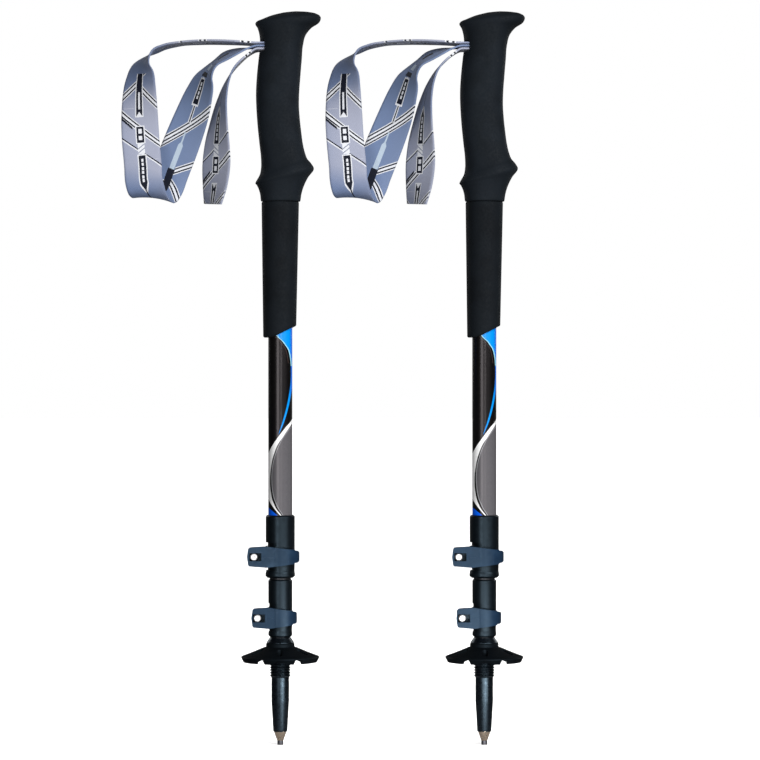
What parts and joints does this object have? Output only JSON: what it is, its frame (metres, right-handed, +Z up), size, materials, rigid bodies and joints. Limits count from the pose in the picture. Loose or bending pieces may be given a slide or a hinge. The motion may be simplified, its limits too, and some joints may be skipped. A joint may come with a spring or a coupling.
{
  "type": "trekking poles",
  "caption": "Telescopic trekking poles with lever clamps, contoured foam grips over long foam sleeves, printed wrist straps, black baskets and hard metal tips.",
  "frame": {"origin": "the left pole's ground point, on its axis", "axes": "+Z up along both poles, +X from the left pole to the right pole, -Y the side that the clamp levers face"},
  "size_m": [0.3029, 0.0586, 0.55],
  "materials": {
    "grip_foam": "matt closed-cell foam, blue-black",
    "extension_foam": "matt closed-cell foam, blue-black",
    "black_nylon": "moulded nylon, matt black",
    "webbing": "lavender-grey webbing with a printed black and white pattern",
    "steel_hardware": "turned steel",
    "printed_tube": "gloss black tube with blue, white and grey printed bands",
    "anodised_tube": "satin black anodised",
    "clamp_plastic": "satin blue-black moulded plastic",
    "lever_plastic": "satin slate-blue moulded plastic",
    "screw_metal": "bright nickel plating",
    "ferrule_plastic": "gloss black moulded plastic",
    "tip_brass": "pale golden metal, softly polished",
    "carbide": "dark sintered carbide",
    "basket_plastic": "matt black flexible plastic"
  },
  "bodies": {
    "left_lower": {"left_lower_tube": "anodised_tube", "left_lower_guide_bush": "black_nylon", "left_tip_ferrule": "ferrule_plastic", "left_tip_holder": "tip_brass", "left_carbide_tip": "carbide"},
    "left_basket_body": {"left_basket": "basket_plastic"},
    "left_middle": {"left_middle_tube": "anodised_tube", "left_middle_guide_bush": "black_nylon", "left_lower_clamp_body": "clamp_plastic", "left_lower_clamp_barrel_pin": "steel_hardware", "left_lower_clamp_nut": "screw_metal"},
    "left_lower_lever": {"left_lower_clamp_lever": "lever_plastic"},
    "left_lower_screw": {"left_lower_clamp_screw": "screw_metal"},
    "left_upper": {"left_upper_tube": "printed_tube", "left_upper_tube_plug": "black_nylon", "left_upper_clamp_body": "clamp_plastic", "left_upper_clamp_barrel_pin": "steel_hardware", "left_upper_clamp_nut": "screw_metal", "left_grip": "grip_foam", "left_grip_core": "black_nylon", "left_grip_extension": "extension_foam", "left_strap_anchor": "webbing", "left_strap_wedge": "black_nylon", "left_strap_pin": "steel_hardware"},
    "left_upper_lever": {"left_upper_clamp_lever": "lever_plastic"},
    "left_upper_screw": {"left_upper_clamp_screw": "screw_metal"},
    "left_strap_body": {"left_strap": "webbing"},
    "right_lower": {"right_lower_tube": "anodised_tube", "right_lower_guide_bush": "black_nylon", "right_tip_ferrule": "ferrule_plastic", "right_tip_holder": "tip_brass", "right_carbide_tip": "carbide"},
    "right_basket_body": {"right_basket": "basket_plastic"},
    "right_middle": {"right_middle_tube": "anodised_tube", "right_middle_guide_bush": "black_nylon", "right_lower_clamp_body": "clamp_plastic", "right_lower_clamp_barrel_pin": "steel_hardware", "right_lower_clamp_nut": "screw_metal"},
    "right_lower_lever": {"right_lower_clamp_lever": "lever_plastic"},
    "right_lower_screw": {"right_lower_clamp_screw": "screw_metal"},
    "right_upper": {"right_upper_tube": "printed_tube", "right_upper_tube_plug": "black_nylon", "right_upper_clamp_body": "clamp_plastic", "right_upper_clamp_barrel_pin": "steel_hardware", "right_upper_clamp_nut": "screw_metal", "right_grip": "grip_foam", "right_grip_core": "black_nylon", "right_grip_extension": "extension_foam", "right_strap_anchor": "webbing", "right_strap_wedge": "black_nylon", "right_strap_pin": "steel_hardware"},
    "right_upper_lever": {"right_upper_clamp_lever": "lever_plastic"},
    "right_upper_screw": {"right_upper_clamp_screw": "screw_metal"},
    "right_strap_body": {"right_strap": "webbing"}
  },
  "joints": [
    {"name": "left_basket_screw", "type": "hinge", "parent": "left_lower", "child": "left_basket_body", "pos_m": [0, 0, 0.0685], "axis": [0, 0, 1], "range_deg": [0, 720]},
    {"name": "left_middle_slide", "type": "slide", "parent": "left_lower", "child": "left_middle", "axis": [0, 0, 1], "range_m": [0, 0.3]},
    {"name": "left_upper_slide", "type": "slide", "parent": "left_middle", "child": "left_upper", "axis": [0, 0, 1], "range_m": [0, 0.3]},
    {"name": "left_lower_lever_pivot", "type": "hinge", "parent": "left_middle", "child": "left_lower_lever", "pos_m": [-0.0168, -0.008, 0.0956], "axis": [0, 0, -1], "range_deg": [0, 95]},
    {"name": "left_upper_lever_pivot", "type": "hinge", "parent": "left_upper", "child": "left_upper_lever", "pos_m": [-0.0194, -0.008, 0.1413], "axis": [0, 0, -1], "range_deg": [0, 95]},
    {"name": "left_lower_screw_turn", "type": "hinge", "parent": "left_middle", "child": "left_lower_screw", "pos_m": [-0.0168, -0.004, 0.0956], "axis": [0, 1, 0], "range_deg": [-360, 360]},
    {"name": "left_upper_screw_turn", "type": "hinge", "parent": "left_upper", "child": "left_upper_screw", "pos_m": [-0.0194, -0.004, 0.1413], "axis": [0, 1, 0], "range_deg": [-360, 360]},
    {"name": "left_strap_swing", "type": "hinge", "parent": "left_upper", "child": "left_strap_body", "pos_m": [-0.0172, 0, 0.5233], "axis": [1, 0, 0], "range_deg": [-60, 60]},
    {"name": "right_pole_carry", "type": "slide", "parent": "left_lower", "child": "right_lower", "axis": [1, 0, 0], "range_m": [0, 0.3]},
    {"name": "right_basket_screw", "type": "hinge", "parent": "right_lower", "child": "right_basket_body", "pos_m": [0.153, 0, 0.0685], "axis": [0, 0, 1], "range_deg": [0, 720]},
    {"name": "right_middle_slide", "type": "slide", "parent": "right_lower", "child": "right_middle", "axis": [0, 0, 1], "range_m": [0, 0.3]},
    {"name": "right_upper_slide", "type": "slide", "parent": "right_middle", "child": "right_upper", "axis": [0, 0, 1], "range_m": [0, 0.3]},
    {"name": "right_lower_lever_pivot", "type": "hinge", "parent": "right_middle", "child": "right_lower_lever", "pos_m": [0.1362, -0.008, 0.0956], "axis": [0, 0, -1], "range_deg": [0, 95]},
    {"name": "right_upper_lever_pivot", "type": "hinge", "parent": "right_upper", "child": "right_upper_lever", "pos_m": [0.1336, -0.008, 0.1413], "axis": [0, 0, -1], "range_deg": [0, 95]},
    {"name": "right_lower_screw_turn", "type": "hinge", "parent": "right_middle", "child": "right_lower_screw", "pos_m": [0.1362, -0.004, 0.0956], "axis": [0, 1, 0], "range_deg": [-360, 360]},
    {"name": "right_upper_screw_turn", "type": "hinge", "parent": "right_upper", "child": "right_upper_screw", "pos_m": [0.1336, -0.004, 0.1413], "axis": [0, 1, 0], "range_deg": [-360, 360]},
    {"name": "right_strap_swing", "type": "hinge", "parent": "right_upper", "child": "right_strap_body", "pos_m": [0.1358, 0, 0.5233], "axis": [1, 0, 0], "range_deg": [-60, 60]}
  ]
}
